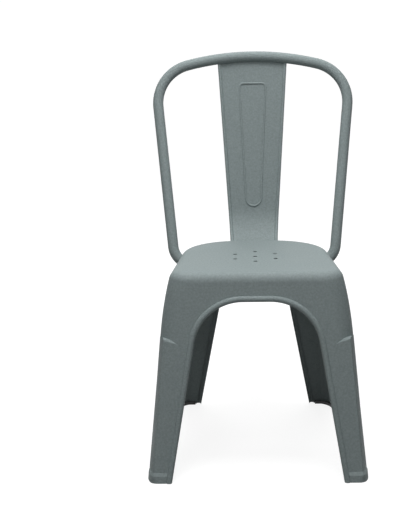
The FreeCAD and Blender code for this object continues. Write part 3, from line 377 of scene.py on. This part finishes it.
class CHAIR_OT_pads(ChairOperator, bpy.types.Operator):
    """Gives the foot pads their rubber"""

    bl_idname = "chair.pads"
    bl_label = "Foot pads"

    def execute(self, context):
        trim = settings(context).trim
        rubber = moulded("foot_rubber", trim, trim.rubber, trim.rubber_roughness, trim.rubber_grain)
        finish_nodes(["foot_pad_" + corner for corner in CORNERS], rubber)
        return {"FINISHED"}


# Stage

# Metres, apart from the steps of the curve. The floor shows the shadow within one reach of the chair's middle
# and is plain white beyond the other.
FLOOR_HALF_WIDTH = 6.0
FLOOR_FRONT = -6.0
FLOOR_BACK = 5.0
BACKDROP_CURVE = 2.0
BACKDROP_STEPS = 16
BACKDROP_HEIGHT = 5.0
SHADOW_REACH = 0.5
WHITE_REACH = 1.6
LAMP_AIM = Vector((0.0, 0.0, 0.4))
VIEW_DEPTH = 50.0
# Millimetres, as Blender gives lenses.
SENSOR_HEIGHT = 36.0


def larger(sheet, first, second):
    """The larger of two values."""
    pick = sheet.add("ShaderNodeMath", operation="MAXIMUM")
    sheet.join(first, pick.inputs[0])
    sheet.join(second, pick.inputs[1])
    return pick.outputs["Value"]


def seen_rays(sheet):
    """One for the camera, reflections and what shows through, and nothing for light that bounces."""
    rays = sheet.add("ShaderNodeLightPath").outputs
    mirrored = larger(sheet, rays["Is Glossy Ray"], rays["Is Transmission Ray"])
    return larger(sheet, rays["Is Camera Ray"], mirrored)


def floor_material(stage):
    """White paper that keeps the chair's shadow, and sends little of the lamps' light back."""
    sheet = material_sheet("studio_floor")
    place = sheet.add("ShaderNodeTexCoord")
    reach = sheet.add("ShaderNodeVectorMath", operation="LENGTH")
    white = sheet.add(
        "ShaderNodeMapRange",
        interpolation_type="SMOOTHSTEP",
        From_Min=SHADOW_REACH,
        From_Max=WHITE_REACH,
        To_Min=stage.floor_white,
        To_Max=1.0,
    )
    strength = sheet.add("ShaderNodeMath", operation="MULTIPLY")
    glow = sheet.add("ShaderNodeEmission", Color=WHITE)
    bounce = sheet.add("ShaderNodeBsdfDiffuse", Color=[stage.floor_bounce] * 3 + [1.0])
    paper = sheet.add("ShaderNodeAddShader")
    sheet.join(place.outputs["Object"], reach.inputs[0])
    sheet.join(reach.outputs["Value"], white.inputs["Value"])
    sheet.join(white.outputs["Result"], strength.inputs[0])
    sheet.join(seen_rays(sheet), strength.inputs[1])
    sheet.join(strength.outputs["Value"], glow.inputs["Strength"])
    sheet.join(bounce.outputs["BSDF"], paper.inputs[0])
    sheet.join(glow.outputs["Emission"], paper.inputs[1])
    return sheet.show(paper.outputs["Shader"])


def add_floor(context, stage):
    """A wide floor that curves up into a backdrop behind the chair."""
    profile = [(FLOOR_FRONT, 0.0), (FLOOR_BACK, 0.0)]
    for step in range(1, BACKDROP_STEPS + 1):
        angle = math.pi / 2 * step / BACKDROP_STEPS
        along = FLOOR_BACK + BACKDROP_CURVE * math.sin(angle)
        profile.append((along, BACKDROP_CURVE * (1 - math.cos(angle))))
    profile.append((FLOOR_BACK + BACKDROP_CURVE, BACKDROP_HEIGHT))
    bm = bmesh.new()
    left = [bm.verts.new((-FLOOR_HALF_WIDTH, along, height)) for along, height in profile]
    right = [bm.verts.new((FLOOR_HALF_WIDTH, along, height)) for along, height in profile]
    for here in range(len(profile) - 1):
        bm.faces.new((left[here], right[here], right[here + 1], left[here + 1]))
    mesh = bpy.data.meshes.new("studio_floor")
    bm.to_mesh(mesh)
    bm.free()
    mesh.polygons.foreach_set("use_smooth", [True] * len(mesh.polygons))
    mesh.materials.append(floor_material(stage))
    floor = bpy.data.objects.new("studio_floor", mesh)
    context.scene.collection.objects.link(floor)


def add_lamp(context, name, power, size, place):
    """A square soft box that faces the middle of the chair."""
    lamp = bpy.data.lights.new(name, "AREA")
    lamp.shape = "SQUARE"
    lamp.size = size
    lamp.energy = power
    holder = bpy.data.objects.new(name, lamp)
    holder.location = place
    holder.rotation_euler = (LAMP_AIM - Vector(place)).to_track_quat("-Z", "Y").to_euler()
    holder.visible_camera = False
    context.scene.collection.objects.link(holder)


def set_world(context, dome):
    """A faint even dome of light; the camera and reflections see plain white."""
    sheet = NodeSheet(bpy.data.worlds.new("studio_dome"), "ShaderNodeOutputWorld")
    light = sheet.add("ShaderNodeBackground", Color=WHITE, Strength=dome)
    white = sheet.add("ShaderNodeBackground", Color=WHITE, Strength=1.0)
    choice = sheet.add("ShaderNodeMixShader")
    sheet.join(seen_rays(sheet), choice.inputs["Fac"])
    sheet.join(light.outputs["Background"], choice.inputs[1])
    sheet.join(white.outputs["Background"], choice.inputs[2])
    context.scene.world = sheet.show(choice.outputs["Shader"])


def add_camera(context, stage):
    """The photograph's viewpoint."""
    yaw, tilt, roll = stage.camera_turn
    ahead = Vector((math.sin(yaw) * math.cos(tilt), math.cos(yaw) * math.cos(tilt), -math.sin(tilt)))
    level = Vector((math.cos(yaw), -math.sin(yaw), 0.0))
    above = level.cross(ahead)
    right = level * math.cos(roll) + above * math.sin(roll)
    up = above * math.cos(roll) - level * math.sin(roll)
    lens = bpy.data.cameras.new("photo_camera")
    lens.sensor_fit = "VERTICAL"
    lens.sensor_height = SENSOR_HEIGHT
    lens.lens = stage.lens_pixels * SENSOR_HEIGHT / PHOTO_HEIGHT
    lens.clip_end = VIEW_DEPTH
    camera = bpy.data.objects.new("photo_camera", lens)
    turned = Matrix((right, up, -ahead)).transposed().to_4x4()
    camera.matrix_world = Matrix.Translation(stage.camera_place) @ turned
    context.scene.collection.objects.link(camera)
    context.scene.camera = camera


class CHAIR_OT_stage(ChairOperator, bpy.types.Operator):
    """Sets up the floor, the soft light and the camera"""

    bl_idname = "chair.stage"
    bl_label = "Stage"

    def execute(self, context):
        stage = settings(context).stage
        context.scene.view_settings.view_transform = "Standard"
        add_floor(context, stage)
        set_world(context, stage.dome)
        add_lamp(context, "overhead_box", stage.overhead_power, size=0.8, place=(0.0, -0.8, 3.0))
        add_lamp(context, "middle_box", stage.middle_power, size=1.6, place=(0.0, -0.1, 2.3))
        add_lamp(context, "rear_box", stage.rear_power, size=1.6, place=(0.0, 1.2, 2.3))
        add_lamp(context, "left_box", stage.left_power, size=0.8, place=(-0.5, -1.8, 2.4))
        add_lamp(context, "front_box", stage.front_power, size=2.0, place=(0.0, -4.0, 1.2))
        add_camera(context, stage)
        return {"FINISHED"}


# Panel and start

STEPS = (
    CHAIR_OT_seat,
    CHAIR_OT_legs,
    CHAIR_OT_back,
    CHAIR_OT_brace,
    CHAIR_OT_caps,
    CHAIR_OT_pads,
    CHAIR_OT_stage,
)


class CHAIR_PT_panel(bpy.types.Panel):
    """Lists the settings and the steps of the chair"""

    bl_idname = "CHAIR_PT_panel"
    bl_label = "Bistro chair"
    bl_space_type = "VIEW_3D"
    bl_region_type = "UI"
    bl_category = "Bistro Chair"

    def draw(self, context):
        chair = settings(context)
        for group in (chair.coat, chair.trim, chair.stage):
            box = self.layout.box()
            for name in group.__annotations__:
                box.prop(group, name)
        for step in STEPS:
            self.layout.operator(step.bl_idname)


CLASSES = (CoatSettings, TrimSettings, StageSettings, ChairSettings, *STEPS, CHAIR_PT_panel)


def register():
    """Makes the settings, steps and panel known to Blender."""
    for cls in CLASSES:
        bpy.utils.register_class(cls)
    bpy.types.Scene.bistro_chair = PointerProperty(type=ChairSettings)


def unregister():
    """Takes them out again."""
    del bpy.types.Scene.bistro_chair
    for cls in reversed(CLASSES):
        bpy.utils.unregister_class(cls)


def main():
    """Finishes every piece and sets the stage."""
    register()
    bpy.ops.chair.seat()
    bpy.ops.chair.legs()
    bpy.ops.chair.back()
    bpy.ops.chair.brace()
    bpy.ops.chair.caps()
    bpy.ops.chair.pads()
    bpy.ops.chair.stage()


if __name__ == "__main__":
    main()
